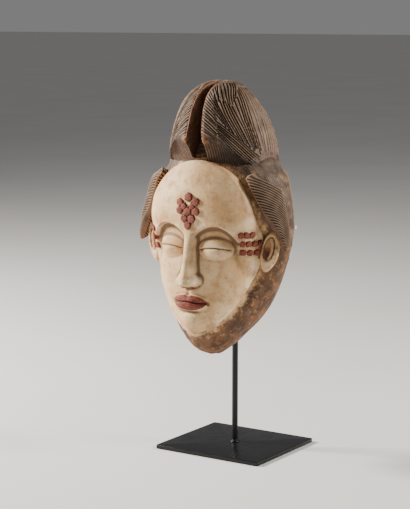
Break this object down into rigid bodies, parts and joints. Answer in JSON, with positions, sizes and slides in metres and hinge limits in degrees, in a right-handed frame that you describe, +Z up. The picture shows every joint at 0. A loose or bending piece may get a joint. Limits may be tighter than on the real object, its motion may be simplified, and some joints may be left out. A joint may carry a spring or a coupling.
{
  "type": "carved face mask on a stand",
  "caption": "Carved and painted wooden face mask, hollow behind, with a split crest of hair and side tresses, carried on a thin steel rod with a flat rectangular foot.",
  "frame": {"origin": "centre of the base plate's underside, on the rod's axis", "axes": "+Z up along the rod, the mask looks along -Y, +X is the side of the wearer's left ear"},
  "size_m": [0.186, 0.163, 0.4026],
  "materials": {
    "painted_wood": "matt white clay paint, worn, over dark hair and brown wood",
    "black_steel": "satin black"
  },
  "bodies": {
    "root": {"mask": "painted_wood", "base_plate": "black_steel", "upright_rod": "black_steel", "cradle": "black_steel"}
  },
  "joints": []
}
